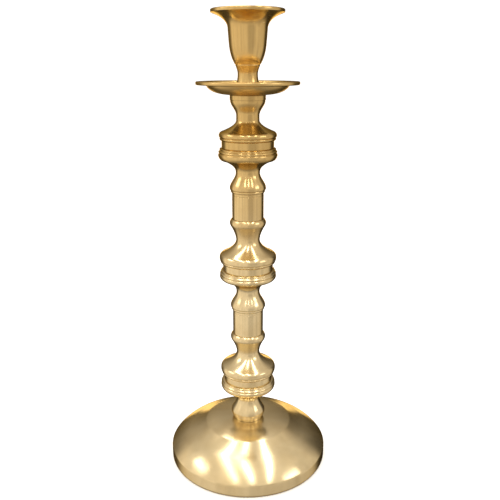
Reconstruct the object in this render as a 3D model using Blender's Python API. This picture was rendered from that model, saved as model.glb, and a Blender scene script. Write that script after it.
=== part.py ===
"""Altar candlestick, 400 mm tall: turned brass castings threaded on a steel tie rod.

All sizes are in millimetres, in the frame of the finished stick: the floor is at zero, +Z is up,
and Z is the axis that every piece was turned on. Blender's metres come in through MM only.
An outline is a list of (radius, height) points, and a piece's heights are counted from its seat.
"""

import math

import bmesh
import bpy

MM = 0.001
SEAM = 0.3  # room left between two pieces that rest on each other
STEM_STEPS = 24  # facets round the stem pieces
WIDE_STEPS = 32  # facets round the wide pieces
HARDWARE_STEPS = 16  # facets round the rod and the washers

TOTAL_HEIGHT = 400.0
BASE_SEAT = 37.5  # the lowest bulb stands here
KNOP_PITCH = 106.9  # from one bulb's foot to the next
KNOPS = 3

BASE_FOOT_RADIUS = 72.6
BASE_EDGE_RADIUS = 71.8  # edge between slope and upright rim
BASE_EDGE_HEIGHT = 12.8
SLOPE_MIDDLE = (53.6, 25.3)  # where the hollow of the slope turns into its shoulder
PLATEAU_RADIUS = 39.7
PLATEAU_EDGE_HEIGHT = 33.9
BASE_WALL = 3.0
BASE_BOSS_RADIUS = 17.0
BASE_BOSS_UNDERSIDE = 29.5

BULB_FOOT_RADIUS = 13.8
BULB_RADIUS = 15.6
BULB_HEIGHT = 5.8  # where the bulb is widest
NECK_RADIUS = 10.35
LOWER_NECK_HEIGHT = 19.0
LOWER_ROLL_UNDERSIDE = 29.9
ROLL_UNDERSIDE_RADIUS = 21.0
LOWER_ROLL_HEIGHT = 34.6
LOWER_ROLL_RADIUS = 25.1
BAND_BOTTOM = 40.1
BAND_TOP = 46.0
BAND_RADIUS = 22.1
ROLL_EDGE_RADIUS = 22.7  # where a roll meets the band
UPPER_ROLL = (25.1, 50.8)  # the widest point of the roll above the band
UPPER_CROWN = (21.8, 55.3)  # where that roll turns into the flare
UPPER_NECK_HEIGHT = 67.0
LIP_HEIGHT = 82.4
LIP_RADIUS = 15.7
LIP_TOP = 86.0
LIP_TOP_RADIUS = 14.2
TUBE_RADIUS = 13.65
TUBE_BORE_RADIUS = 11.0

TOP_ROLL = (24.4, 49.9)  # the top knop's roll is a little smaller
TOP_CROWN = (21.5, 53.5)
TOP_NECK_RADIUS = 9.7
COLLAR_RADIUS = 14.9
COLLAR_EDGE_HEIGHT = 79.8
COLLAR_TOP = 82.7
COUNTERBORE_RADIUS = 9.0
COUNTERBORE_DEPTH = 9.2

SPIGOT_RADIUS = 10.6  # centres a casting in the tube or the base below it
SPIGOT_LENGTH = 2.2
BAND_SPIGOT_RADIUS = 17.6  # centres the band on the two castings of its knop
BAND_SPIGOT_LENGTH = 2.7
SPIGOT_CLEARANCE = 0.4

ROD_RADIUS = 4.0
BORE_RADIUS = 4.4
THREAD_BORE_RADIUS = 4.3
ROD_FOOT = 13.5
ROD_TOP = 351.0
NUT_ACROSS_FLATS = 13.0
NUT_HEIGHT = 6.5
STEM_WASHER_RADIUS = 8.0
STEM_WASHER_THICKNESS = 1.6
BASE_WASHER_RADIUS = 14.0
BASE_WASHER_THICKNESS = 2.0
LOCK_WASHER_RADIUS = 7.2
LOCK_WASHER_THICKNESS = 2.0
LOCK_WASHER_SPLIT = 1.2

PAN_RADIUS = 42.7
PAN_FLANGE_RADIUS = 34.8  # where the flange turns down into the dish
PAN_DEPTH = 8.3
PAN_FLANGE_THICKNESS = 2.6
PAN_FLOOR_THICKNESS = 2.4
PAN_FLOOR_RADIUS = 13.6

CUP_FOOT_RADIUS = 12.4
CUP_FOOT_THICKNESS = 2.6
CUP_NECK_RADIUS = 8.25
CUP_NECK_HEIGHT = 14.0
BELL_FOOT_RADIUS = 10.4  # the crease where the bell meets its neck
BELL_FOOT_HEIGHT = 21.0
CUP_BODY_RADIUS = 15.1
CUP_BODY_HEIGHT = 36.0
CUP_THROAT_RADIUS = 16.1
CUP_THROAT_HEIGHT = 49.0
CUP_LIP_RADIUS = 29.7
CUP_LIP_THICKNESS = 2.2
SOCKET_RADIUS = 11.6  # takes a 22 mm candle
SOCKET_FLOOR_RADIUS = 10.6
SOCKET_FLOOR_HEIGHT = 29.4
CUP_BORE_DEPTH = 17.4

BRASS_PALE = (0.66, 0.49, 0.24, 1.0)
BRASS_GOLDEN = (0.60, 0.40, 0.14, 1.0)
STEEL_GREY = (0.42, 0.42, 0.41, 1.0)


def clear_scene():
    for thing in list(bpy.data.objects):
        bpy.data.objects.remove(thing)


def flare(start, end, power, steps):
    """Points after start, up to end, whose radius grows as a power of the height."""
    (r0, z0), (r1, z1) = start, end
    shares = [step / steps for step in range(1, steps + 1)]
    return [(r0 + (r1 - r0) * share**power, z0 + (z1 - z0) * share) for share in shares]


def ease(start, end, steps):
    """Points after start, up to end, on an S curve that is upright at both ends."""
    (r0, z0), (r1, z1) = start, end
    shares = [step / steps for step in range(1, steps + 1)]
    return [
        (r0 + (r1 - r0) * (1 - math.cos(math.pi * share)) / 2, z0 + (z1 - z0) * share)
        for share in shares
    ]


def bend(start, pull, end, steps):
    """Points after start, up to end, on a curve whose ends both aim at the pull point."""
    shares = [step / steps for step in range(1, steps + 1)]
    return [
        tuple((1 - s) ** 2 * a + 2 * s * (1 - s) * b + s**2 * c for a, b, c in zip(start, pull, end))
        for s in shares
    ]


def quarter(start, end, steps, upright_start=True):
    """Points after start, up to end, on a quarter of an ellipse that is upright at one end."""
    (r0, z0), (r1, z1) = start, end
    angles = [math.pi / 2 * step / steps for step in range(1, steps + 1)]
    if upright_start:
        return [
            (r0 + (r1 - r0) * (1 - math.cos(a)), z0 + (z1 - z0) * math.sin(a)) for a in angles
        ]
    return [(r0 + (r1 - r0) * math.sin(a), z0 + (z1 - z0) * (1 - math.cos(a))) for a in angles]


def finish(name, colour, roughness):
    """A metal of the piece's own."""
    material = bpy.data.materials.new(name)
    material.use_nodes = True
    shader = material.node_tree.nodes["Principled BSDF"]
    shader.inputs["Base Color"].default_value = colour
    shader.inputs["Roughness"].default_value = roughness
    shader.inputs["Metallic"].default_value = 1.0
    return material


def axis_empty(name, height):
    empty = bpy.data.objects.new(name, None)
    bpy.context.collection.objects.link(empty)
    empty.location = (0, 0, height * MM)
    return empty


def place(name, mesh, seat, parent, material):
    """Put a mesh on the stick's axis with its seat at the given height, under an empty."""
    mesh.shade_smooth()
    mesh.set_sharp_from_angle(angle=math.radians(35))
    mesh.materials.append(material)
    piece = bpy.data.objects.new(name, mesh)
    bpy.context.collection.objects.link(piece)
    piece.parent = parent
    piece.location = (0, 0, seat * MM - parent.location.z)
    return piece


def turned_mesh(name, outline, steps):
    """Spin a closed outline about the axis. Points on the axis close the piece's ends."""
    work = bmesh.new()
    points = [work.verts.new((radius * MM, 0, height * MM)) for radius, height in outline]
    following = points[1:] + points[:1]
    sides = [
        work.edges.new(pair)
        for pair in zip(points, following)
        if max(pair[0].co.x, pair[1].co.x) > 0
    ]
    bmesh.ops.spin(
        work,
        geom=points + sides,
        cent=(0, 0, 0),
        axis=(0, 0, 1),
        angle=2 * math.pi,
        steps=steps,
        use_merge=True,
    )
    bmesh.ops.remove_doubles(work, verts=work.verts, dist=0.001 * MM)
    bmesh.ops.recalc_face_normals(work, faces=work.faces)
    mesh = bpy.data.meshes.new(name)
    work.to_mesh(mesh)
    work.free()
    return mesh


def ring_outline(inner, outer, bottom, top):
    return [(inner, bottom), (outer, bottom), (outer, top), (inner, top)]


def base_outline():
    """Hollow foot: plateau, ogee slope and upright rim outside, an even wall inside."""
    edge = (BASE_EDGE_RADIUS, BASE_EDGE_HEIGHT)
    brink = (PLATEAU_RADIUS, PLATEAU_EDGE_HEIGHT)
    register = SPIGOT_RADIUS + SPIGOT_CLEARANCE
    seat = BASE_SEAT - SEAM
    register_floor = seat - SPIGOT_LENGTH - SEAM
    plateau_start = (BULB_FOOT_RADIUS + 0.8, seat)
    outside = [(BORE_RADIUS, register_floor), (register, register_floor), (register, seat)]
    outside += [plateau_start]
    outside += bend(plateau_start, (30.0, 36.8), brink, 3)
    outside += bend(brink, (46.0, 28.6), SLOPE_MIDDLE, 3)
    outside += bend(SLOPE_MIDDLE, (69.9, 22.2), edge, 5)
    outside += [(BASE_FOOT_RADIUS, 2.5), (BASE_FOOT_RADIUS - 0.7, 0)]
    inside = [(BASE_FOOT_RADIUS - 5.0, 0), (BASE_EDGE_RADIUS - BASE_WALL - 1.0, BASE_EDGE_HEIGHT)]
    inside += [(SLOPE_MIDDLE[0] + 8.0, SLOPE_MIDDLE[1] - BASE_WALL - 3.0)]
    inside += [(SLOPE_MIDDLE[0] - 2.0, SLOPE_MIDDLE[1] - BASE_WALL)]
    inside += [(PLATEAU_RADIUS - 2.5, PLATEAU_EDGE_HEIGHT - BASE_WALL)]
    inside += [(BASE_BOSS_RADIUS + 2.0, 33.0), (BASE_BOSS_RADIUS, BASE_BOSS_UNDERSIDE)]
    inside += [(BORE_RADIUS, BASE_BOSS_UNDERSIDE)]
    return outside + inside


def lower_casting_outline():
    """Bulb, neck and lower roll, with a spigot below and one for the band above."""
    foot = (BULB_FOOT_RADIUS, 0.0)
    bulb = (BULB_RADIUS, BULB_HEIGHT)
    neck = (NECK_RADIUS, LOWER_NECK_HEIGHT)
    underside = (ROLL_UNDERSIDE_RADIUS, LOWER_ROLL_UNDERSIDE)
    roll = (LOWER_ROLL_RADIUS, LOWER_ROLL_HEIGHT)
    top = (ROLL_EDGE_RADIUS, BAND_BOTTOM - SEAM / 2)
    outline = [(BORE_RADIUS, -SPIGOT_LENGTH), (SPIGOT_RADIUS, -SPIGOT_LENGTH), (SPIGOT_RADIUS, 0.0)]
    outline += [foot]
    outline += quarter(foot, bulb, 2, upright_start=False)
    outline += ease(bulb, neck, 5)
    outline += flare(neck, underside, 2.4, 4)
    outline += quarter(underside, roll, 2, upright_start=False)
    outline += quarter(roll, top, 2)
    outline += [(BAND_SPIGOT_RADIUS, top[1]), (BAND_SPIGOT_RADIUS, top[1] + BAND_SPIGOT_LENGTH)]
    outline += [(BORE_RADIUS, top[1] + BAND_SPIGOT_LENGTH)]
    return outline


def upper_roll_outline(roll, crown, neck):
    """The roll above the band and the flare up to the neck, on a spigot for the band."""
    bottom = (ROLL_EDGE_RADIUS, BAND_TOP + SEAM / 2)
    spigot_foot = bottom[1] - BAND_SPIGOT_LENGTH
    outline = [(BORE_RADIUS, spigot_foot), (BAND_SPIGOT_RADIUS, spigot_foot)]
    outline += [(BAND_SPIGOT_RADIUS, bottom[1]), bottom]
    outline += quarter(bottom, roll, 2, upright_start=False)
    outline += quarter(roll, crown, 2)
    outline += flare(neck, crown, 2.7, 5)[-2::-1]
    return outline + [neck]


def upper_casting_outline():
    """Upper roll, neck and thistle lip, with a spigot that centres the tube on the lip."""
    neck = (NECK_RADIUS, UPPER_NECK_HEIGHT)
    lip = (LIP_RADIUS, LIP_HEIGHT)
    top = (LIP_TOP_RADIUS, LIP_TOP)
    outline = upper_roll_outline(UPPER_ROLL, UPPER_CROWN, neck)
    outline += flare(neck, lip, 1.7, 4)
    outline += quarter(lip, top, 2)
    outline += [(SPIGOT_RADIUS, LIP_TOP), (SPIGOT_RADIUS, LIP_TOP + SPIGOT_LENGTH)]
    outline += [(BORE_RADIUS, LIP_TOP + SPIGOT_LENGTH)]
    return outline


def top_casting_outline():
    """Upper roll, neck and the collar under the pan, counterbored for the stem nut."""
    neck = (TOP_NECK_RADIUS, UPPER_NECK_HEIGHT - 0.8)
    collar = (COLLAR_RADIUS, COLLAR_EDGE_HEIGHT)
    floor = COLLAR_TOP - COUNTERBORE_DEPTH
    outline = upper_roll_outline(TOP_ROLL, TOP_CROWN, neck)
    outline += ease(neck, collar, 5)
    outline += [(COLLAR_RADIUS, COLLAR_TOP), (COUNTERBORE_RADIUS, COLLAR_TOP)]
    outline += [(COUNTERBORE_RADIUS, floor), (BORE_RADIUS, floor)]
    return outline


def pan_outline():
    """Shallow dish with a flat flange. The height of its underside on the collar is zero."""
    flange_top = PAN_FLOOR_THICKNESS + PAN_DEPTH
    flange_bottom = flange_top - PAN_FLANGE_THICKNESS
    outer_foot = (COLLAR_RADIUS + 0.6, 0.0)
    outer_brim = (PAN_FLANGE_RADIUS, flange_bottom - 0.4)
    inner_foot = (PAN_FLOOR_RADIUS, PAN_FLOOR_THICKNESS)
    inner_brim = (PAN_FLANGE_RADIUS - 1.8, flange_top - 0.6)
    outline = [(THREAD_BORE_RADIUS + 0.5, 0.0), outer_foot]
    outline += bend(outer_foot, (31.5, 0.9), outer_brim, 4)
    outline += [(PAN_FLANGE_RADIUS + 1.0, flange_bottom), (PAN_RADIUS - 1.2, flange_bottom)]
    outline += [(PAN_RADIUS, flange_top - 0.8), (PAN_RADIUS - 0.6, flange_top)]
    outline += [(PAN_FLANGE_RADIUS + 0.4, flange_top), inner_brim]
    outline += bend(inner_brim, (29.5, 3.3), inner_foot, 4)
    outline += [(THREAD_BORE_RADIUS + 0.5, PAN_FLOOR_THICKNESS)]
    return outline


def cup_outline(seat):
    """Bell-shaped cup: foot, neck, body and wide lip outside, candle socket inside."""
    lip_top = TOTAL_HEIGHT - seat
    foot_top = (CUP_FOOT_RADIUS, CUP_FOOT_THICKNESS)
    neck = (CUP_NECK_RADIUS, CUP_NECK_HEIGHT)
    bell_foot = (BELL_FOOT_RADIUS, BELL_FOOT_HEIGHT)
    body = (CUP_BODY_RADIUS, CUP_BODY_HEIGHT)
    throat = (CUP_THROAT_RADIUS, CUP_THROAT_HEIGHT)
    lip = (CUP_LIP_RADIUS - 1.1, lip_top - CUP_LIP_THICKNESS - 0.5)
    mouth = (CUP_LIP_RADIUS - 2.4, lip_top - 0.8)
    socket_top = (SOCKET_RADIUS, CUP_THROAT_HEIGHT + 0.6)
    outline = [(THREAD_BORE_RADIUS, 0.0), (CUP_FOOT_RADIUS, 0.0), foot_top]
    outline += quarter(neck, foot_top, 3)[-2::-1] + [neck]
    outline += flare(neck, bell_foot, 1.6, 2)
    outline += bend(bell_foot, (14.2, 27.2), body, 4)
    outline += [throat]
    outline += bend(throat, (CUP_THROAT_RADIUS + 0.8, lip_top - 6.7), lip, 5)
    outline += [(CUP_LIP_RADIUS, lip_top - 1.3), (CUP_LIP_RADIUS - 0.4, lip_top)]
    outline += [(CUP_LIP_RADIUS - 1.8, lip_top), mouth]
    outline += quarter(socket_top, mouth, 5)[-2::-1] + [socket_top]
    outline += [(SOCKET_RADIUS - 0.3, SOCKET_FLOOR_HEIGHT + 2.5)]
    outline += [(SOCKET_FLOOR_RADIUS, SOCKET_FLOOR_HEIGHT), (0.0, SOCKET_FLOOR_HEIGHT)]
    outline += [(0.0, CUP_BORE_DEPTH), (THREAD_BORE_RADIUS, CUP_BORE_DEPTH)]
    return outline


def cutter(name, mesh, target):
    """An unseen tool that a Boolean takes out of the target."""
    tool = bpy.data.objects.new(name, mesh)
    bpy.context.collection.objects.link(tool)
    tool.hide_render = True
    tool.display_type = "WIRE"
    tool.parent = target
    cut = target.modifiers.new(name, "BOOLEAN")
    cut.operation = "DIFFERENCE"
    cut.solver = "EXACT"
    cut.object = tool


def hex_nut(name, seat, parent, material):
    """A hexagonal prism, bored for the rod."""
    corner = NUT_ACROSS_FLATS / 2 / math.cos(math.pi / 6)
    body = turned_mesh(name, [(0, 0), (corner, 0), (corner, NUT_HEIGHT), (0, NUT_HEIGHT)], 6)
    nut = place(name, body, seat, parent, material)
    past = 1.0
    bore = [(0, -past), (THREAD_BORE_RADIUS, -past)]
    bore += [(THREAD_BORE_RADIUS, NUT_HEIGHT + past), (0, NUT_HEIGHT + past)]
    cutter(name + "_bore", turned_mesh(name + "_bore", bore, STEM_STEPS), nut)
    return nut


def split_washer(name, seat, parent, material):
    """A spring washer: a ring with a slot sawn through one side."""
    outline = ring_outline(BORE_RADIUS, LOCK_WASHER_RADIUS, 0, LOCK_WASHER_THICKNESS)
    washer = place(name, turned_mesh(name, outline, HARDWARE_STEPS), seat, parent, material)
    saw = bmesh.new()
    bmesh.ops.create_cube(saw, size=1.0)
    depth = 2 * (LOCK_WASHER_RADIUS - BORE_RADIUS)
    middle = (LOCK_WASHER_RADIUS + BORE_RADIUS) / 2
    bmesh.ops.scale(
        saw,
        vec=(depth * MM, LOCK_WASHER_SPLIT * MM, 3 * LOCK_WASHER_THICKNESS * MM),
        verts=saw.verts,
    )
    bmesh.ops.translate(saw, vec=(middle * MM, 0, LOCK_WASHER_THICKNESS / 2 * MM), verts=saw.verts)
    blade = bpy.data.meshes.new(name + "_saw")
    saw.to_mesh(blade)
    saw.free()
    cutter(name + "_saw", blade, washer)
    return washer


def make_stem(parent):
    """The knops from the base up: two castings and a band each, with tubes between them."""
    band_bore = BAND_SPIGOT_RADIUS + SPIGOT_CLEARANCE
    band = ring_outline(band_bore, BAND_RADIUS, BAND_BOTTOM + SEAM / 2, BAND_TOP - SEAM / 2)
    tube = ring_outline(TUBE_BORE_RADIUS, TUBE_RADIUS, LIP_TOP + SEAM, KNOP_PITCH - SEAM)
    for order in range(KNOPS):
        seat = BASE_SEAT + order * KNOP_PITCH
        knop = KNOPS - order  # counted from the top down
        pieces = {
            f"lower_casting_{knop}": lower_casting_outline(),
            f"knop_band_{knop}": band,
            f"upper_casting_{knop}": top_casting_outline() if knop == 1 else upper_casting_outline(),
        }
        if knop > 1:
            pieces[f"column_tube_{knop - 1}"] = tube
        for name, outline in pieces.items():
            metal = finish(name, BRASS_PALE, 0.28)
            place(name, turned_mesh(name, outline, STEM_STEPS), seat, parent, metal)


def make_hardware(parent):
    """The tie rod, its nuts and its washers."""
    length = ROD_TOP - ROD_FOOT
    rod = [(0, 0), (ROD_RADIUS, 0), (ROD_RADIUS, length), (0, length)]
    rod_mesh = turned_mesh("tie_rod", rod, HARDWARE_STEPS)
    place("tie_rod", rod_mesh, ROD_FOOT, parent, finish("tie_rod", STEEL_GREY, 0.35))

    collar_top = BASE_SEAT + (KNOPS - 1) * KNOP_PITCH + COLLAR_TOP
    washer_seat = collar_top - COUNTERBORE_DEPTH + SEAM
    washer = ring_outline(BORE_RADIUS, STEM_WASHER_RADIUS, 0, STEM_WASHER_THICKNESS)
    washer_mesh = turned_mesh("stem_washer", washer, HARDWARE_STEPS)
    place("stem_washer", washer_mesh, washer_seat, parent, finish("stem_washer", STEEL_GREY, 0.4))
    nut_seat = washer_seat + STEM_WASHER_THICKNESS + SEAM
    hex_nut("stem_nut", nut_seat, parent, finish("stem_nut", STEEL_GREY, 0.38))

    washer_seat = BASE_BOSS_UNDERSIDE - SEAM - BASE_WASHER_THICKNESS
    washer = ring_outline(BORE_RADIUS, BASE_WASHER_RADIUS, 0, BASE_WASHER_THICKNESS)
    washer_mesh = turned_mesh("base_washer", washer, STEM_STEPS)
    place("base_washer", washer_mesh, washer_seat, parent, finish("base_washer", STEEL_GREY, 0.4))
    lock_seat = washer_seat - SEAM - LOCK_WASHER_THICKNESS
    split_washer("lock_washer", lock_seat, parent, finish("lock_washer", STEEL_GREY, 0.42))
    nut_seat = lock_seat - SEAM - NUT_HEIGHT
    hex_nut("base_nut", nut_seat, parent, finish("base_nut", STEEL_GREY, 0.38))


def make_candlestick():
    clear_scene()
    stand = axis_empty("candlestick_axis", 0)
    make_stem(stand)
    make_hardware(stand)
    base_mesh = turned_mesh("base", base_outline(), WIDE_STEPS)
    place("base", base_mesh, 0, stand, finish("base", BRASS_PALE, 0.25))

    pan_seat = BASE_SEAT + (KNOPS - 1) * KNOP_PITCH + COLLAR_TOP + SEAM
    cup_seat = pan_seat + PAN_FLOOR_THICKNESS + SEAM
    thread = axis_empty("cup_thread_axis", cup_seat)
    pan_mesh = turned_mesh("drip_pan", pan_outline(), WIDE_STEPS)
    place("drip_pan", pan_mesh, pan_seat, thread, finish("drip_pan", BRASS_GOLDEN, 0.27))
    cup_mesh = turned_mesh("candle_cup", cup_outline(cup_seat), STEM_STEPS)
    place("candle_cup", cup_mesh, cup_seat, thread, finish("candle_cup", BRASS_GOLDEN, 0.27))


make_candlestick()
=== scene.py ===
"""The altar candlestick's looks: turned and polished brass on a threaded steel tie rod.

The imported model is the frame. Seats and outer radii are read from its boxes. The rest of each
outline is in millimetres, as (radius, height) points counted from the piece's own seat, and every
brass piece is spun about the stick's axis, as it was on the lathe.
"""

import math

import bmesh
import bpy
from mathutils import Matrix, Quaternion, Vector


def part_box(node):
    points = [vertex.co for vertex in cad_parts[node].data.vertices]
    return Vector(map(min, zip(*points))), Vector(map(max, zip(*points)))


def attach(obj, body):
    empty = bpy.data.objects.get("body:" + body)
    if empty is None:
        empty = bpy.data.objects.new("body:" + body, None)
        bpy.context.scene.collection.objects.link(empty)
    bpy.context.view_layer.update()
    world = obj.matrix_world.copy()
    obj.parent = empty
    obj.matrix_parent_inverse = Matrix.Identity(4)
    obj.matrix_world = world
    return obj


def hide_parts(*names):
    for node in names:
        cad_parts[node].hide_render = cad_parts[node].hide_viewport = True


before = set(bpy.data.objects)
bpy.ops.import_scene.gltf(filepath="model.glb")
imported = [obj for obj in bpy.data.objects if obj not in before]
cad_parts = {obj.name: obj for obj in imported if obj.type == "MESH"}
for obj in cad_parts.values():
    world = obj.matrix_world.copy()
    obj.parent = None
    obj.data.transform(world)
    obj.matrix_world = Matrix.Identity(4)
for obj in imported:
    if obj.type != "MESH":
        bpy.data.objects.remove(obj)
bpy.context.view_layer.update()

MM = 0.001
FACE_LENGTH = 1.3  # longest facet along an outline, mm
CORNER_ANGLE = 28  # a sharper turn than this in an outline is eased, degrees
BORE = 4.4  # radius of the tie rod's hole
SEAM = 0.3  # room between two pieces that rest on each other
SPIGOT_LENGTH = 2.2


# --- sizes read from the frame, in mm ---------------------------------------------------------


def top_of(node):
    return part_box(node)[1].z / MM


def foot_of(node):
    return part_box(node)[0].z / MM


def radius_of(node):
    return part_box(node)[1].x / MM


KNOP_SEATS = {knop: foot_of(f"lower_casting_{knop}") + SPIGOT_LENGTH for knop in (1, 2, 3)}
PAN_SEAT = foot_of("drip_pan")
CUP_SEAT = foot_of("candle_cup")
LIP_TOP = top_of("candle_cup") - CUP_SEAT
PITCH = KNOP_SEATS[2] - KNOP_SEATS[3]


# --- outlines ---------------------------------------------------------------------------------


def shares(steps):
    """Even shares of the way from a start, left out, to an end."""
    return [step / steps for step in range(1, steps + 1)]


def flare(start, end, power, steps=24):
    """Points after start, up to end, whose radius grows as a power of the height."""
    (r0, z0), (r1, z1) = start, end
    return [(r0 + (r1 - r0) * s**power, z0 + (z1 - z0) * s) for s in shares(steps)]


def ease(start, end, steps=24):
    """Points after start, up to end, on an S curve that is upright at both ends."""
    (r0, z0), (r1, z1) = start, end
    return [
        (r0 + (r1 - r0) * (1 - math.cos(math.pi * s)) / 2, z0 + (z1 - z0) * s)
        for s in shares(steps)
    ]


def bend(start, pull, end, steps=24):
    """Points after start, up to end, on a curve whose ends both aim at the pull point."""
    return [
        tuple((1 - s) ** 2 * a + 2 * s * (1 - s) * b + s**2 * c for a, b, c in zip(start, pull, end))
        for s in shares(steps)
    ]


def quarter(start, end, steps=16, upright_start=True):
    """Points after start, up to end, on a quarter of an ellipse that is upright at one end."""
    (r0, z0), (r1, z1) = start, end
    angles = [math.pi / 2 * s for s in shares(steps)]
    if upright_start:
        return [
            (r0 + (r1 - r0) * (1 - math.cos(a)), z0 + (z1 - z0) * math.sin(a)) for a in angles
        ]
    return [(r0 + (r1 - r0) * math.sin(a), z0 + (z1 - z0) * (1 - math.cos(a))) for a in angles]


def bead(start, end, rise, steps=10):
    """Points after start, up to end, that swell outwards by rise between the two."""
    (r0, z0), (r1, z1) = start, end
    return [
        (r0 + (r1 - r0) * s + rise * math.sin(math.pi * s), z0 + (z1 - z0) * s)
        for s in shares(steps)
    ]


def backwards(points, start):
    """The same stretch walked from its far end, ending on start."""
    return points[-2::-1] + [start]


def is_corner(point):
    """Whether two sides of an outline meet here at more than the corner angle."""
    if len(point.link_edges) != 2 or point.co.x <= 0:
        return False
    away = [side.other_vert(point).co - point.co for side in point.link_edges]
    return math.pi - away[0].angle(away[1]) > math.radians(CORNER_ANGLE)


def turned_mesh(name, outline, seat, eased, facets):
    """Spin an outline about the axis, its corners eased (mm) and its long sides divided."""
    work = bmesh.new()
    points = [work.verts.new((radius * MM, 0, (seat + height) * MM)) for radius, height in outline]
    for start, end in zip(points, points[1:] + points[:1]):
        if max(start.co.x, end.co.x) > 0:
            work.edges.new((start, end))
    corners = [point for point in points if is_corner(point)]
    bmesh.ops.bevel(
        work,
        geom=corners,
        offset=eased * MM,
        offset_type="OFFSET",
        segments=4,
        profile=0.5,
        affect="VERTICES",
        clamp_overlap=True,
        material=-1,
    )
    for side in list(work.edges):
        cuts = int(side.calc_length() / (FACE_LENGTH * MM))
        if cuts:
            bmesh.ops.subdivide_edges(work, edges=[side], cuts=cuts)
    bmesh.ops.spin(
        work,
        geom=work.verts[:] + work.edges[:],
        cent=(0, 0, 0),
        axis=(0, 0, 1),
        angle=2 * math.pi,
        steps=facets,
        use_merge=True,
    )
    bmesh.ops.remove_doubles(work, verts=work.verts, dist=0.0005 * MM)
    bmesh.ops.recalc_face_normals(work, faces=work.faces)
    return to_mesh(name, work)


def to_mesh(name, work):
    """Turn the bmesh into a smooth-shaded mesh."""
    mesh = bpy.data.meshes.new(name)
    work.to_mesh(mesh)
    work.free()
    mesh.shade_smooth()
    return mesh


def show(name, mesh, material, body, node):
    """Put a finished piece on its body in place of its plain solid."""
    mesh.materials.append(material)
    piece = bpy.data.objects.new(name, mesh)
    bpy.context.scene.collection.objects.link(piece)
    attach(piece, body)
    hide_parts(node)
    return piece


# --- brass pieces -----------------------------------------------------------------------------

FOOT_RADIUS = radius_of("base")
SPIGOT_RADIUS = 10.6
NECK_RADIUS = 10.35
TUBE_RADIUS = 13.65
BULB = (15.6, 5.9)  # where a bulb is widest
LOWER_NECK = (NECK_RADIUS, 19.0)
ROLL_UNDERSIDES = {1: 29.3, 2: 30.6, 3: 30.0}  # height where each knop's lower roll turns under
LOWER_ROLL = (25.1, 34.4)
ROLL_EDGE_RADIUS = 22.7
BAND_BOTTOM = 40.1
BAND_TOP = 46.0
BAND_RADIUS = radius_of("knop_band_3")
BAND_SPIGOT_RADIUS = 17.6
BAND_SPIGOT_LENGTH = 2.7
UPPER_TOP = 86.0  # top face of an upper casting, where the tube stands
CROWN_SLOPE = 0.47  # rise over run where a crown turns from round to hollow
TOP_CROWN_SLOPE = 0.39  # the same on the top knop
GROOVE = 0.4  # depth of the channels between the rings


def base_outline():
    """Hollow foot: plateau, ogee slope and upright rim outside, an even wall inside."""
    rim_top = (FOOT_RADIUS - 0.6, 12.5)
    middle = (53.6, 26.4)  # where the slope turns from hollow to round
    brink = (39.7, 33.9)  # where the plateau breaks into the slope
    register = SPIGOT_RADIUS + 0.4
    seat = KNOP_SEATS[3] - SEAM
    register_floor = seat - SPIGOT_LENGTH - SEAM
    plateau_start = (14.6, seat)
    outside = [(BORE, register_floor), (register, register_floor), (register, seat)]
    outside += [plateau_start]
    outside += bend(plateau_start, (30.0, 36.8), brink)
    outside += bend(brink, (46.7, 29.4), middle)
    outside += bend(middle, (65.2, 21.3), rim_top, 30)
    outside += [(FOOT_RADIUS, 11.7), (FOOT_RADIUS, 1.5), (FOOT_RADIUS - 0.9, 0)]
    rim_inside = (FOOT_RADIUS - 4.8, 12.8)
    slope_inside = (51.6, 22.3)
    brink_inside = (37.2, 30.9)
    boss_side = (19.0, 33.4)
    boss_underside = 29.5
    inside = [(FOOT_RADIUS - 5.0, 0), rim_inside]
    inside += bend(rim_inside, (65.0, 19.0), slope_inside, 12)
    inside += bend(slope_inside, (44.0, 24.5), brink_inside, 12)
    inside += bend(brink_inside, (28.0, 33.4), boss_side, 8)
    inside += [(17.0, boss_underside), (BORE, boss_underside)]
    return outside + inside


def lower_casting_outline(knop):
    """Bulb, neck and the three rings of the lower roll, between two spigots."""
    outline = [(BORE, -SPIGOT_LENGTH), (SPIGOT_RADIUS, -SPIGOT_LENGTH), (SPIGOT_RADIUS, 0.0)]
    ring_foot = (14.3, 2.3)
    ring_top = (14.5, 4.3)
    outline += [(TUBE_RADIUS, 0.0), (TUBE_RADIUS, 2.1), ring_foot]
    outline += bead(ring_foot, ring_top, 0.35, 6)
    outline += quarter(ring_top, BULB, upright_start=False)
    outline += ease(BULB, LOWER_NECK)
    underside = (20.8, ROLL_UNDERSIDES[knop])
    outline += flare(LOWER_NECK, underside, 2.4)
    outline += quarter(underside, LOWER_ROLL, upright_start=False)
    # the roll is the widest of three rings, with a channel below each of the other two
    roll_top = (24.9, 35.1)
    middle_ring_foot = (24.6, 36.2)
    middle_ring_top = (24.2, 37.8)
    upper_ring_foot = (23.9, 38.9)
    top = (ROLL_EDGE_RADIUS, BAND_BOTTOM - SEAM / 2)
    outline += [roll_top] + bead(roll_top, middle_ring_foot, -GROOVE, 6)
    outline += bead(middle_ring_foot, middle_ring_top, 0.45)
    outline += bead(middle_ring_top, upper_ring_foot, -GROOVE, 6)
    outline += bead(upper_ring_foot, top, 0.4)
    spigot_top = top[1] + BAND_SPIGOT_LENGTH
    outline += [(BAND_SPIGOT_RADIUS, top[1]), (BAND_SPIGOT_RADIUS, spigot_top)]
    return outline + [(BORE, spigot_top)]


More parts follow.
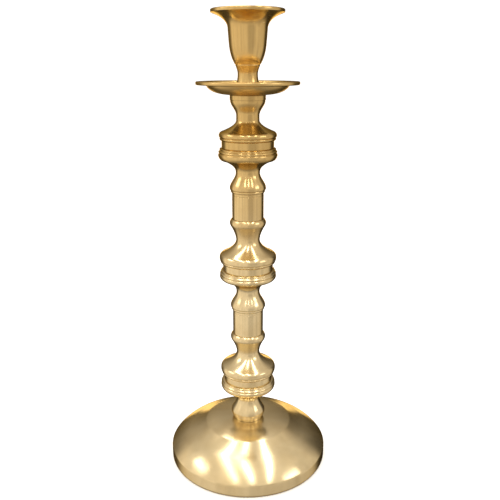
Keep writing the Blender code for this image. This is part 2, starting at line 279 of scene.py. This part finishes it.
def upper_roll_outline(roll, crown, neck, slope):
    """A ring, a scored line, the roll and the hollow flare up to the neck, on the band's spigot."""
    bottom = (ROLL_EDGE_RADIUS, BAND_TOP + SEAM / 2)
    line_top = (roll[0] - 0.5, bottom[1] + 2.9)
    line_foot = (line_top[0] - 0.3, line_top[1] - 0.8)
    spigot_foot = bottom[1] - BAND_SPIGOT_LENGTH
    outline = [(BORE, spigot_foot), (BAND_SPIGOT_RADIUS, spigot_foot)]
    outline += [(BAND_SPIGOT_RADIUS, bottom[1]), bottom]
    outline += bead(bottom, line_foot, 0.5)
    outline += bead(line_foot, line_top, -GROOVE, 6)
    outline += quarter(outline[-1], roll, 8, upright_start=False)
    outline += bend(roll, (roll[0], crown[1] - slope * (roll[0] - crown[0])), crown, 16)
    hollow = neck[0] + 0.7
    outline += bend(crown, (hollow, crown[1] + slope * (crown[0] - hollow)), neck)
    return outline


def upper_casting_outline():
    """Upper roll, neck and thistle lip, with a spigot that centres the tube on the lip."""
    neck = (NECK_RADIUS, 67.0)
    lip_foot = (15.2, 80.2)
    outline = upper_roll_outline((25.1, 51.4), (22.7, 55.3), neck, CROWN_SLOPE)
    outline += flare(neck, lip_foot, 1.7)
    outline += bead(lip_foot, (15.1, 85.0), 0.65)
    spigot_top = UPPER_TOP + SPIGOT_LENGTH
    outline += [(14.2, UPPER_TOP), (SPIGOT_RADIUS, UPPER_TOP), (SPIGOT_RADIUS, spigot_top)]
    return outline + [(BORE, spigot_top)]


def top_casting_outline():
    """Upper roll, neck and the collar under the pan, counterbored for the stem nut."""
    neck = (9.7, 62.4)
    neck_top = (9.7, 66.6)
    collar_radius = 14.9
    counterbore_radius = 9.0
    top = top_of("upper_casting_1") - KNOP_SEATS[1]
    counterbore_floor = top - 9.2
    outline = upper_roll_outline((24.4, 50.3), (21.8, 53.7), neck, TOP_CROWN_SLOPE)
    outline += [neck_top] + ease(neck_top, (14.6, 78.7))
    outline += [(collar_radius, 79.2), (collar_radius, top), (counterbore_radius, top)]
    outline += [(counterbore_radius, counterbore_floor), (BORE, counterbore_floor)]
    return outline


def tube_outline():
    """A plain tube from one casting's lip to the next one's bulb."""
    foot = UPPER_TOP + 0.1
    top = PITCH - 0.05
    bore = 11.0
    return [(bore, foot), (TUBE_RADIUS, foot), (TUBE_RADIUS, top), (bore, top)]


def band_outline():
    """The loose ring between the two rolls of a knop."""
    bottom = BAND_BOTTOM - 0.05
    top = BAND_TOP + 0.05
    bore = 18.0
    return [(bore, bottom), (BAND_RADIUS, bottom), (BAND_RADIUS, top), (bore, top)]


def pan_outline():
    """Shallow dish with a flat flange, its underside on the collar."""
    rim = radius_of("drip_pan")
    top = top_of("drip_pan") - PAN_SEAT
    bottom = top - 2.9
    bore = 4.8
    floor_edge = (15.5, 0.0)
    floor_top = 2.4
    dish_radius = 35.2
    dish_edge = (33.0, top - 0.6)
    rounding = 0.6
    outline = [(bore, 0.0), floor_edge]
    outline += bend(floor_edge, (31.0, 0.9), (34.2, bottom - 0.4))
    outline += [(dish_radius, bottom), (rim - rounding, bottom), (rim, bottom + rounding)]
    outline += [(rim, top - rounding), (rim - rounding, top), (dish_radius, top), dish_edge]
    outline += bend(dish_edge, (29.5, 3.3), (13.6, floor_top))
    return outline + [(bore, floor_top)]


def cup_outline():
    """Bell-shaped cup: foot, neck, body and wide lip outside, candle socket inside."""
    rim = radius_of("candle_cup")
    thread_bore = 4.3
    foot_edge = (12.4, 2.6)
    neck = (8.25, 14.0)
    bell_foot = (10.5, 21.3)
    body = (15.1, 36.0)
    throat = (16.1, 49.0)
    mouth = (rim - 2.4, LIP_TOP - 0.8)
    socket_top = (11.6, 49.6)
    socket_floor = 29.4
    bore_top = 17.4
    outline = [(thread_bore, 0.0), (foot_edge[0], 0.0), foot_edge]
    outline += backwards(quarter(neck, foot_edge), neck)
    outline += flare(neck, (10.1, 20.4), 1.6)
    outline += [(9.9, 20.9), bell_foot]
    outline += bend(bell_foot, (14.2, 27.2), body)
    outline += bend(body, (15.7, 42.5), throat, 10)
    outline += bend(throat, (16.9, LIP_TOP - 6.9), (rim - 0.9, LIP_TOP - 3.0))
    outline += [(rim, LIP_TOP - 2.6), (rim, LIP_TOP - 0.5), (rim - 0.6, LIP_TOP)]
    outline += [(rim - 1.8, LIP_TOP), mouth]
    outline += backwards(quarter(socket_top, mouth), socket_top)
    outline += [(11.3, 31.9), (10.6, socket_floor), (0.0, socket_floor)]
    return outline + [(0.0, bore_top), (thread_bore, bore_top)]


def make_stem(brass):
    """The base, then two castings and a band for each knop, with tubes between the knops."""
    base = turned_mesh("base_turned", base_outline(), 0.0, eased=0.6, facets=192)
    show("base_turned", base, brass, "stem", "base")
    for knop, seat in KNOP_SEATS.items():
        outlines = {
            f"lower_casting_{knop}": lower_casting_outline(knop),
            f"knop_band_{knop}": band_outline(),
            f"upper_casting_{knop}": top_casting_outline() if knop == 1 else upper_casting_outline(),
        }
        if knop > 1:
            outlines[f"column_tube_{knop - 1}"] = tube_outline()
        for node, outline in outlines.items():
            mesh = turned_mesh(node + "_turned", outline, seat, eased=0.22, facets=128)
            show(node + "_turned", mesh, brass, "stem", node)


def make_head(spun_brass, brass):
    """The drip pan and the candle cup."""
    pan = turned_mesh("drip_pan_turned", pan_outline(), PAN_SEAT, eased=0.4, facets=160)
    show("drip_pan_turned", pan, spun_brass, "drip_pan", "drip_pan")
    cup = turned_mesh("candle_cup_turned", cup_outline(), CUP_SEAT, eased=0.35, facets=160)
    show("candle_cup_turned", cup, brass, "candle_cup", "candle_cup")


# --- steel pieces -----------------------------------------------------------------------------

THREAD_PITCH = 1.25
THREAD_DEPTH = 0.7
THREAD_STEPS = 24  # facets round the rod
NUT_CHAMFER = 30  # degrees
NUT_BORE = 4.1
NUT_COUNTERSINK = 5.3
SPRING_FACETS = 60
SPRING_GAP = 1.2  # between the sawn ends, at the outer edge
SPRING_LIFT = 0.12  # how much higher one end stands than the other


def threaded_rod(name, node):
    """Sweep one thread's profile up the rod, then saw both ends flat."""
    foot = foot_of(node)
    top = top_of(node)
    crest = radius_of(node)
    root = crest - THREAD_DEPTH
    flat = THREAD_PITCH / 8
    start = foot - 2 * THREAD_PITCH
    profile = [(root, 0), (crest, THREAD_PITCH / 2 - flat), (crest, THREAD_PITCH / 2 + flat)]
    profile += [(root, THREAD_PITCH)]
    work = bmesh.new()
    points = [work.verts.new((radius * MM, 0, (start + height) * MM)) for radius, height in profile]
    sides = [work.edges.new(pair) for pair in zip(points, points[1:])]
    bmesh.ops.spin(
        work,
        geom=points + sides,
        cent=(0, 0, 0),
        axis=(0, 0, 1),
        dvec=(0, 0, THREAD_PITCH * MM / THREAD_STEPS),
        angle=2 * math.pi,
        steps=THREAD_STEPS,
    )
    length = THREAD_PITCH
    while start + length < top + THREAD_PITCH:
        doubled = bmesh.ops.duplicate(work, geom=work.verts[:] + work.edges[:] + work.faces[:])
        higher = [part for part in doubled["geom"] if isinstance(part, bmesh.types.BMVert)]
        bmesh.ops.translate(work, vec=(0, 0, length * MM), verts=higher)
        length *= 2
    bmesh.ops.remove_doubles(work, verts=work.verts, dist=0.001 * MM)
    for height, side in ((foot, -1), (top, 1)):
        bmesh.ops.bisect_plane(
            work,
            geom=work.verts[:] + work.edges[:] + work.faces[:],
            plane_co=(0, 0, height * MM),
            plane_no=(0, 0, side),
            clear_outer=True,
        )
        rim = [edge for edge in work.edges if edge.is_boundary]
        rim = [edge for edge in rim if abs(edge.verts[0].co.z - height * MM) < 0.01 * MM]
        bmesh.ops.holes_fill(work, edges=rim)
    bmesh.ops.recalc_face_normals(work, faces=work.faces)
    mesh = to_mesh(name, work)
    mesh.set_sharp_from_angle(angle=math.radians(30))
    return mesh


def carve(piece, tool_mesh, operation):
    """Cut a mesh with another one, or keep what the two share, and make the result real."""
    tool = bpy.data.objects.new("tool", tool_mesh)
    bpy.context.scene.collection.objects.link(tool)
    cut = piece.modifiers.new("cut", "BOOLEAN")
    cut.operation = operation
    cut.solver = "EXACT"
    cut.object = tool
    finished = piece.evaluated_get(bpy.context.evaluated_depsgraph_get())
    shaped = bpy.data.meshes.new_from_object(finished)
    piece.modifiers.remove(cut)
    bpy.data.objects.remove(tool)
    piece.data = shaped


def hex_nut(name, node):
    """A hexagon with its corners turned off on both faces, bored and countersunk."""
    foot = foot_of(node)
    height = top_of(node) - foot
    corner = radius_of(node)
    blank = [(0, 0), (corner, 0), (corner, height), (0, height)]
    hexagon = turned_mesh(name, blank, foot, eased=0.08, facets=6)
    nut = bpy.data.objects.new(name, hexagon)
    bpy.context.scene.collection.objects.link(nut)
    face = 0.96 * corner * math.cos(math.pi / 6)  # the round face, just inside the flats
    clear = corner + 0.5
    lead = (clear - face) * math.tan(math.radians(NUT_CHAMFER))
    double_cone = [(0, 0), (face, 0), (clear, lead), (clear, height - lead), (face, height)]
    double_cone += [(0, height)]
    cone_mesh = turned_mesh("double_cone", double_cone, foot, eased=0.01, facets=64)
    carve(nut, cone_mesh, "INTERSECT")
    bore = [(0, -1), (NUT_COUNTERSINK, -1), (NUT_BORE, 0.5), (NUT_BORE, height - 0.5)]
    bore += [(NUT_COUNTERSINK, height + 1), (0, height + 1)]
    bore_mesh = turned_mesh("bore", bore, foot, eased=0.05, facets=48)
    carve(nut, bore_mesh, "DIFFERENCE")
    mesh = nut.data
    bpy.data.objects.remove(nut)
    mesh.name = name
    mesh.shade_smooth()
    mesh.set_sharp_from_angle(angle=math.radians(25))
    return mesh


def plain_washer(name, node):
    """A stamped ring."""
    height = top_of(node) - foot_of(node)
    radius = radius_of(node)
    outline = [(BORE, 0), (radius, 0), (radius, height), (BORE, height)]
    return turned_mesh(name, outline, foot_of(node), eased=0.3, facets=64)


def spring_washer(name, node):
    """A square bar wound to a ring, its two sawn ends a little apart."""
    foot = foot_of(node)
    top = top_of(node) - SPRING_LIFT
    outer = -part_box(node)[0].x / MM
    gap = SPRING_GAP / outer
    work = bmesh.new()
    corners = [(BORE, foot), (outer, foot), (outer, top), (BORE, top)]
    points = [work.verts.new((radius * MM, 0, height * MM)) for radius, height in corners]
    work.faces.new(points)
    bmesh.ops.bevel(
        work,
        geom=points,
        offset=0.2 * MM,
        offset_type="OFFSET",
        segments=3,
        profile=0.5,
        affect="VERTICES",
        material=-1,
    )
    bmesh.ops.rotate(work, verts=work.verts, cent=(0, 0, 0), matrix=Matrix.Rotation(gap / 2, 3, "Z"))
    bmesh.ops.spin(
        work,
        geom=work.verts[:] + work.edges[:] + work.faces[:],
        cent=(0, 0, 0),
        axis=(0, 0, 1),
        dvec=(0, 0, SPRING_LIFT * MM / SPRING_FACETS),
        angle=2 * math.pi - gap,
        steps=SPRING_FACETS,
    )
    bmesh.ops.remove_doubles(work, verts=work.verts, dist=0.0005 * MM)
    bmesh.ops.recalc_face_normals(work, faces=work.faces)
    mesh = to_mesh(name, work)
    mesh.set_sharp_from_angle(angle=math.radians(40))
    return mesh


def make_hardware(steel):
    """The rod, and the nuts and washers at its two ends."""
    pieces = {
        "tie_rod": threaded_rod("tie_rod_threaded", "tie_rod"),
        "stem_nut": hex_nut("stem_nut_chamfered", "stem_nut"),
        "base_nut": hex_nut("base_nut_chamfered", "base_nut"),
        "stem_washer": plain_washer("stem_washer_stamped", "stem_washer"),
        "base_washer": plain_washer("base_washer_stamped", "base_washer"),
        "lock_washer": spring_washer("lock_washer_sprung", "lock_washer"),
    }
    for node, mesh in pieces.items():
        show(mesh.name, mesh, steel, "stem", node)


# --- finishes ---------------------------------------------------------------------------------

PALE_BRASS = "#F0E4C1"
DEEP_BRASS = "#E4D4AD"  # where the polish has dulled
# painted shade: a warm darkening mixed into the colour up the stick, standing in for the dimmer light
# on the upper pieces
UPPER_PAINTED_SHADE = "#EFE0BE"
HOLLOW_BRASS = "#D2B67B"  # old polish and tarnish left in the channels
GRAZED_BRASS = "#DDC38A"  # brass seen along its surface
DULL_ZINC = "#8C8983"
BRIGHT_ZINC = "#C6C7C6"
MARK_SPACING = 0.8 * MM
PATCH_SIZE = 30 * MM
PIT_SPACING = 1.2 * MM
# heights where the painted shade up the stick begins and where it is full
PAINTED_SHADE_FROM = 160 * MM
PAINTED_SHADE_TO = 300 * MM
SPANGLE_SIZE = 1.5 * MM
DULL_PATCH_SIZE = 6 * MM


def linear(hex_colour):
    """An sRGB hex colour as linear RGBA."""
    channels = [int(hex_colour[i : i + 2], 16) / 255 for i in (1, 3, 5)]
    return tuple(c / 12.92 if c <= 0.04045 else ((c + 0.055) / 1.055) ** 2.4 for c in channels) + (1,)


def add(tree, kind, settings=None, links=None):
    """Add a node, set its properties and sockets, and link its inputs."""
    node = tree.nodes.new(kind)
    for key, value in (settings or {}).items():
        if isinstance(key, int) or key in node.inputs:
            node.inputs[key].default_value = value
        else:
            setattr(node, key, value)
    for key, socket in (links or {}).items():
        tree.links.new(socket, node.inputs[key])
    return node


def turned_brass(name, roughness):
    """Brass turned on a lathe, polished round the axis and lacquered.

    It gives the eye highlights that are drawn out along the outline, faint rings, cloudy patches
    in the polish and darker channels, and painted shade that darkens the colour up the stick.
    """
    material = bpy.data.materials.new(name)
    material.use_nodes = True
    tree = material.node_tree
    tree.nodes.clear()
    place = add(tree, "ShaderNodeTexCoord").outputs["Object"]
    split = add(tree, "ShaderNodeSeparateXYZ", links={0: place})
    # distance from the axis, for marks on surfaces that face up or down
    flat = add(tree, "ShaderNodeCombineXYZ", links={"X": split.outputs["X"], "Y": split.outputs["Y"]})
    reach = add(tree, "ShaderNodeVectorMath", {"operation": "LENGTH"}, {0: flat.outputs[0]})
    # tool marks are 0.1 to 0.2 mm apart on a real one, and drawn 0.8 mm apart so that they show
    rings = {"noise_dimensions": "1D", "Scale": 1 / MARK_SPACING, "Detail": 3.0, "Roughness": 0.6}
    marks_up = add(tree, "ShaderNodeTexNoise", rings, {"W": split.outputs["Z"]})
    marks_out = add(tree, "ShaderNodeTexNoise", rings, {"W": reach.outputs["Value"]})
    marks = add(
        tree,
        "ShaderNodeMath",
        {"operation": "ADD"},
        {0: marks_up.outputs["Fac"], 1: marks_out.outputs["Fac"]},
    )
    # handling dulls the polish in patches 30 mm across
    patches = add(
        tree,
        "ShaderNodeTexNoise",
        {"Scale": 1 / PATCH_SIZE, "Detail": 4.0, "Roughness": 0.55, "Distortion": 0.4},
        {"Vector": place},
    )
    # fine pits in the metal, 0.1 mm or less on a real one, and drawn 1.2 mm apart so that they show
    pits = add(
        tree,
        "ShaderNodeTexNoise",
        {"Scale": 1 / PIT_SPACING, "Detail": 2.0},
        {"Vector": place},
    )
    tone = add(tree, "ShaderNodeValToRGB", links={"Fac": patches.outputs["Fac"]})
    tone.color_ramp.elements[0].position = 0.35
    tone.color_ramp.elements[0].color = linear(DEEP_BRASS)
    tone.color_ramp.elements[1].position = 0.68
    tone.color_ramp.elements[1].color = linear(PALE_BRASS)
    # painted shade: the colour is darkened and warmed more and more up the stick, standing in for the
    # dimmer light that the upper pieces get
    painted_shade_rise = add(
        tree,
        "ShaderNodeMapRange",
        {"interpolation_type": "SMOOTHSTEP", "From Min": PAINTED_SHADE_FROM, "From Max": PAINTED_SHADE_TO},
        {"Value": split.outputs["Z"]},
    )
    shaded_tone = add(
        tree,
        "ShaderNodeMix",
        {"data_type": "RGBA", "blend_type": "MULTIPLY"},
        {0: painted_shade_rise.outputs["Result"], 6: tone.outputs["Color"]},
    )
    shaded_tone.inputs[7].default_value = linear(UPPER_PAINTED_SHADE)
    # the polishing wheel doesn't reach into the channels
    edges = add(tree, "ShaderNodeNewGeometry").outputs["Pointiness"]
    sunk = add(
        tree,
        "ShaderNodeMapRange",
        {"From Min": 0.46, "From Max": 0.40, "To Min": 0.0, "To Max": 0.4},
        {"Value": edges},
    )
    colour = add(
        tree,
        "ShaderNodeMix",
        {"data_type": "RGBA"},
        {0: sunk.outputs["Result"], 6: shaded_tone.outputs[2]},
    )
    colour.inputs[7].default_value = linear(HOLLOW_BRASS)
    gloss = add(
        tree,
        "ShaderNodeMapRange",
        {"From Min": 0.3, "From Max": 0.7, "To Min": roughness + 0.05, "To Max": roughness - 0.03},
        {"Value": patches.outputs["Fac"]},
    )
    gloss_marks = add(
        tree,
        "ShaderNodeMath",
        {"operation": "MULTIPLY_ADD", 1: 0.05},
        {0: marks.outputs[0], 2: gloss.outputs["Result"]},
    )
    ridges = add(
        tree,
        "ShaderNodeBump",
        {"Strength": 0.05, "Distance": 0.00001},
        {"Height": marks.outputs[0]},
    )
    surface = add(
        tree,
        "ShaderNodeBump",
        {"Strength": 0.05, "Distance": 0.00001},
        {"Height": pits.outputs["Fac"], "Normal": ridges.outputs["Normal"]},
    )
    # the polish runs round the axis, so light spreads along the outline
    turned = add(tree, "ShaderNodeMath", {"operation": "MULTIPLY", 1: -1.0}, {0: split.outputs["Y"]})
    around = add(
        tree,
        "ShaderNodeCombineXYZ",
        links={"X": turned.outputs[0], "Y": split.outputs["X"]},
    )
    direction = add(
        tree,
        "ShaderNodeVectorTransform",
        {"vector_type": "VECTOR", "convert_from": "OBJECT", "convert_to": "WORLD"},
        {0: around.outputs[0]},
    )
    shader = add(
        tree,
        "ShaderNodeBsdfPrincipled",
        {
            "Metallic": 1.0,
            "Specular Tint": linear(GRAZED_BRASS),
            "Anisotropic": 0.75,
            "Anisotropic Rotation": 0.25,
        },
        {
            "Base Color": colour.outputs[2],
            "Roughness": gloss_marks.outputs[0],
            "Normal": surface.outputs["Normal"],
            "Tangent": direction.outputs[0],
        },
    )
    add(tree, "ShaderNodeOutputMaterial", links={"Surface": shader.outputs["BSDF"]})
    return material


def plated_steel(name):
    """Zinc plate on cut steel hardware: a cool grey with a faint spangle and dull patches."""
    material = bpy.data.materials.new(name)
    material.use_nodes = True
    tree = material.node_tree
    tree.nodes.clear()
    place = add(tree, "ShaderNodeTexCoord").outputs["Object"]
    spangle = add(tree, "ShaderNodeTexVoronoi", {"Scale": 1 / SPANGLE_SIZE}, {"Vector": place})
    dull = add(
        tree,
        "ShaderNodeTexNoise",
        {"Scale": 1 / DULL_PATCH_SIZE, "Detail": 4.0},
        {"Vector": place},
    )
    tone = add(tree, "ShaderNodeValToRGB", links={"Fac": dull.outputs["Fac"]})
    tone.color_ramp.elements[0].position = 0.3
    tone.color_ramp.elements[0].color = linear(DULL_ZINC)
    tone.color_ramp.elements[1].position = 0.75
    tone.color_ramp.elements[1].color = linear(BRIGHT_ZINC)
    gloss = add(
        tree,
        "ShaderNodeMapRange",
        {"From Min": 0.0, "From Max": 1.0, "To Min": 0.26, "To Max": 0.42},
        {"Value": spangle.outputs["Distance"]},
    )
    grain = add(
        tree,
        "ShaderNodeBump",
        {"Strength": 0.2, "Distance": 0.00005},
        {"Height": dull.outputs["Fac"]},
    )
    shader = add(
        tree,
        "ShaderNodeBsdfPrincipled",
        {"Metallic": 1.0},
        {
            "Base Color": tone.outputs["Color"],
            "Roughness": gloss.outputs["Result"],
            "Normal": grain.outputs["Normal"],
        },
    )
    add(tree, "ShaderNodeOutputMaterial", links={"Surface": shader.outputs["BSDF"]})
    return material


# --- room, light and camera -------------------------------------------------------------------

FLOOR_RADIUS = 4.0
FLOOR_DROP = 0.1 * MM  # keeps the floor clear of the foot's flat edge
FLOOR_GREY = (0.9, 0.9, 0.9, 1)
WHITE_LEVEL = 1.2
ROOM_COLOUR = "#FFEDD4"
LAMP_COLOUR = "#FFF4E5"
ONLOOKER = (0.35, -0.93, -0.10)  # the way to somebody in front, a little to the right
BACK_WINDOW = (0.22, -0.07, 0.0)  # sideways, and half the height
LAMP_POWER = 16.0
LAMP_SIZE = (0.20, 3.8)
LAMP_FRONT = -0.5  # where the middle of each lamp is, along Y
LAMP_HEIGHT = 2.4
CEILING_LAMPS = {  # place along X, and degrees that the lamp is turned
    "left": (-0.78, 0.0),
    "middle": (-0.08, 12.0),
    "right": (0.90, 18.0),
}
WINDOW_POWER = 3.6
WINDOW_SIZE = (0.8, 0.5)
WINDOWS = {"left": (-1.60, -0.15, 1.35), "right": (1.65, -0.75, 1.05)}
CAMERA_PLACE = (0.0018, -0.5168, 0.3565)
CAMERA_TILT = 73.32
CAMERA_LENS = 44.1
CAMERA_SENSOR = 36.0


def make_floor():
    """A plain pale floor, seen and lit but not mirrored in the brass."""
    work = bmesh.new()
    bmesh.ops.create_circle(work, cap_ends=True, segments=96, radius=FLOOR_RADIUS)
    bmesh.ops.translate(work, vec=(0, 0, -FLOOR_DROP), verts=work.verts)
    mesh = to_mesh("floor", work)
    material = bpy.data.materials.new("pale floor")
    material.use_nodes = True
    shader = material.node_tree.nodes["Principled BSDF"]
    shader.inputs["Base Color"].default_value = FLOOR_GREY
    shader.inputs["Roughness"].default_value = 0.9
    shader.inputs["Specular IOR Level"].default_value = 0.0
    mesh.materials.append(material)
    floor = bpy.data.objects.new("floor", mesh)
    bpy.context.scene.collection.objects.link(floor)
    floor.visible_glossy = False


def make_world():
    """White to the eye and to the floor; the brass mirrors a room, bright in front, dim behind."""
    world = bpy.data.worlds.new("studio")
    bpy.context.scene.world = world
    world.use_nodes = True
    world.cycles.sampling_method = "NONE"  # otherwise the white also lights the brass
    tree = world.node_tree
    tree.nodes.clear()
    way = add(tree, "ShaderNodeTexCoord").outputs["Generated"]
    split = add(tree, "ShaderNodeSeparateXYZ", links={0: way})
    front_wall = add(
        tree,
        "ShaderNodeMapRange",
        {"From Min": -1.0, "From Max": 1.0, "To Min": 1.0, "To Max": 0.70},
        {"Value": split.outputs["X"]},
    )
    back_wall = add(
        tree,
        "ShaderNodeMapRange",
        {"From Min": -0.5, "From Max": 0.5, "To Min": 0.24, "To Max": 0.10},
        {"Value": split.outputs["X"]},
    )
    back_floor = add(
        tree,
        "ShaderNodeMapRange",
        {"From Min": -0.5, "From Max": 0.1, "To Min": 0.4, "To Max": 1.0},
        {"Value": split.outputs["Z"]},
    )
    back_top = add(
        tree,
        "ShaderNodeMapRange",
        {"From Min": 0.12, "From Max": 0.45, "To Min": 1.0, "To Max": 1.9},
        {"Value": split.outputs["Z"]},
    )
    back_height = add(
        tree,
        "ShaderNodeMath",
        {"operation": "MULTIPLY"},
        {0: back_floor.outputs[0], 1: back_top.outputs[0]},
    )
    back = add(
        tree,
        "ShaderNodeMath",
        {"operation": "MULTIPLY"},
        {0: back_wall.outputs[0], 1: back_height.outputs[0]},
    )
    turned_back = add(
        tree,
        "ShaderNodeMapRange",
        {"interpolation_type": "SMOOTHSTEP", "From Min": 0.25, "From Max": 0.60},
        {"Value": split.outputs["Y"]},
    )
    walls = add(
        tree,
        "ShaderNodeMix",
        links={0: turned_back.outputs[0], 2: front_wall.outputs[0], 3: back.outputs[0]},
    )
    to_onlooker = add(
        tree,
        "ShaderNodeVectorMath",
        {"operation": "DISTANCE", 1: ONLOOKER},
        {0: way},
    )
    shade = add(
        tree,
        "ShaderNodeMapRange",
        {"interpolation_type": "SMOOTHSTEP", "From Min": 0.15, "From Max": 0.60, "To Min": 0.70},
        {"Value": to_onlooker.outputs["Value"]},
    )
    shaded = add(
        tree,
        "ShaderNodeMath",
        {"operation": "MULTIPLY"},
        {0: walls.outputs[0], 1: shade.outputs[0]},
    )
    ceiling = add(
        tree,
        "ShaderNodeMapRange",
        {"From Min": -0.5, "From Max": 0.5, "To Min": 0.90, "To Max": 0.70},
        {"Value": split.outputs["Y"]},
    )
    upward = add(
        tree,
        "ShaderNodeMapRange",
        {"interpolation_type": "SMOOTHSTEP", "From Min": 0.40, "From Max": 0.85},
        {"Value": split.outputs["Z"]},
    )
    plain = add(
        tree,
        "ShaderNodeMix",
        links={0: upward.outputs[0], 2: shaded.outputs[0], 3: ceiling.outputs[0]},
    )
    # shelves and doorways, as upright patches of light and shade
    upright = add(
        tree,
        "ShaderNodeVectorMath",
        {"operation": "MULTIPLY", 1: (1.0, 1.0, 0.25)},
        {0: way},
    )
    clutter = add(
        tree,
        "ShaderNodeTexNoise",
        {"Scale": 7.0, "Detail": 3.0, "Roughness": 0.6},
        {"Vector": upright.outputs[0]},
    )
    patchy = add(
        tree,
        "ShaderNodeMapRange",
        {"From Min": 0.3, "From Max": 0.7, "To Min": 0.78, "To Max": 1.22},
        {"Value": clutter.outputs["Fac"]},
    )
    downward = add(
        tree,
        "ShaderNodeMapRange",
        {"From Min": -0.9, "From Max": -0.5, "To Min": 0.4, "To Max": 1.0},
        {"Value": split.outputs["Z"]},
    )
    dimmed = add(
        tree,
        "ShaderNodeMath",
        {"operation": "MULTIPLY"},
        {0: plain.outputs[0], 1: downward.outputs[0]},
    )
    level = add(
        tree,
        "ShaderNodeMath",
        {"operation": "MULTIPLY"},
        {0: dimmed.outputs[0], 1: patchy.outputs[0]},
    )
    # two low windows behind, one on each side
    aside = add(tree, "ShaderNodeMath", {"operation": "ABSOLUTE"}, {0: split.outputs["X"]})
    height = add(tree, "ShaderNodeMath", {"operation": "MULTIPLY", 1: 0.5}, {0: split.outputs["Z"]})
    on_wall = add(
        tree,
        "ShaderNodeCombineXYZ",
        links={"X": aside.outputs[0], "Y": height.outputs[0]},
    )
    to_window = add(
        tree,
        "ShaderNodeVectorMath",
        {"operation": "DISTANCE", 1: BACK_WINDOW},
        {0: on_wall.outputs[0]},
    )
    glare = add(
        tree,
        "ShaderNodeMapRange",
        {"interpolation_type": "SMOOTHSTEP", "From Min": 0.13, "From Max": 0.07, "To Max": 2.2},
        {"Value": to_window.outputs["Value"]},
    )
    lit = add(
        tree,
        "ShaderNodeMath",
        {"operation": "MULTIPLY_ADD"},
        {0: glare.outputs[0], 1: turned_back.outputs[0], 2: level.outputs[0]},
    )
    room = add(
        tree,
        "ShaderNodeBackground",
        {"Color": linear(ROOM_COLOUR)},
        {"Strength": lit.outputs[0]},
    )
    white = add(tree, "ShaderNodeBackground", {"Color": (1, 1, 1, 1), "Strength": WHITE_LEVEL})
    rays = add(tree, "ShaderNodeLightPath")
    shown = add(
        tree,
        "ShaderNodeMixShader",
        links={0: rays.outputs["Is Glossy Ray"], 1: white.outputs[0], 2: room.outputs[0]},
    )
    add(tree, "ShaderNodeOutputWorld", links={"Surface": shown.outputs[0]})


def area_light(name, place, target, size, power, turn=0.0):
    """A rectangular light that faces the target, turned about the upright by turn degrees."""
    data = bpy.data.lights.new(name, "AREA")
    data.shape = "RECTANGLE"
    data.size, data.size_y = size
    data.energy = power
    data.color = linear(LAMP_COLOUR)[:3]
    lamp = bpy.data.objects.new(name, data)
    bpy.context.scene.collection.objects.link(lamp)
    lamp.location = place
    facing = (Vector(target) - Vector(place)).to_track_quat("-Z", "Y")
    facing.rotate(Quaternion((0, 0, 1), math.radians(turn)))
    lamp.rotation_euler = facing.to_euler()
    lamp.visible_camera = False


def make_lights():
    """Three long lamps overhead, spreading towards the front, and a window on each side."""
    for side, (x, turn) in CEILING_LAMPS.items():
        place = (x, LAMP_FRONT, LAMP_HEIGHT)
        below = (x, LAMP_FRONT, 0.0)
        area_light(f"ceiling_lamp_{side}", place, below, LAMP_SIZE, LAMP_POWER, turn)
    for side, place in WINDOWS.items():
        area_light(f"{side}_window", place, (0, 0, 0.1), WINDOW_SIZE, WINDOW_POWER)


def make_camera():
    """A camera in front, a little below the cup's lip and tilted down."""
    data = bpy.data.cameras.new("camera")
    data.sensor_width = CAMERA_SENSOR
    data.lens = CAMERA_LENS
    camera = bpy.data.objects.new("camera", data)
    camera.location = CAMERA_PLACE
    camera.rotation_euler = (math.radians(CAMERA_TILT), 0, 0)
    bpy.context.scene.collection.objects.link(camera)
    bpy.context.scene.camera = camera


# the castings are buffed to a soft mirror; the pan keeps the satin of the spinner's last pass
brass = turned_brass("turned cast brass, lacquered", 0.16)
spun_brass = turned_brass("spun sheet brass, lacquered", 0.25)
steel = plated_steel("zinc-plated steel")
make_stem(brass)
make_head(spun_brass, brass)
make_hardware(steel)
make_floor()
make_world()
make_lights()
make_camera()
# colours come out as mixed, with no film curve over them
bpy.context.scene.view_settings.view_transform = "Standard"
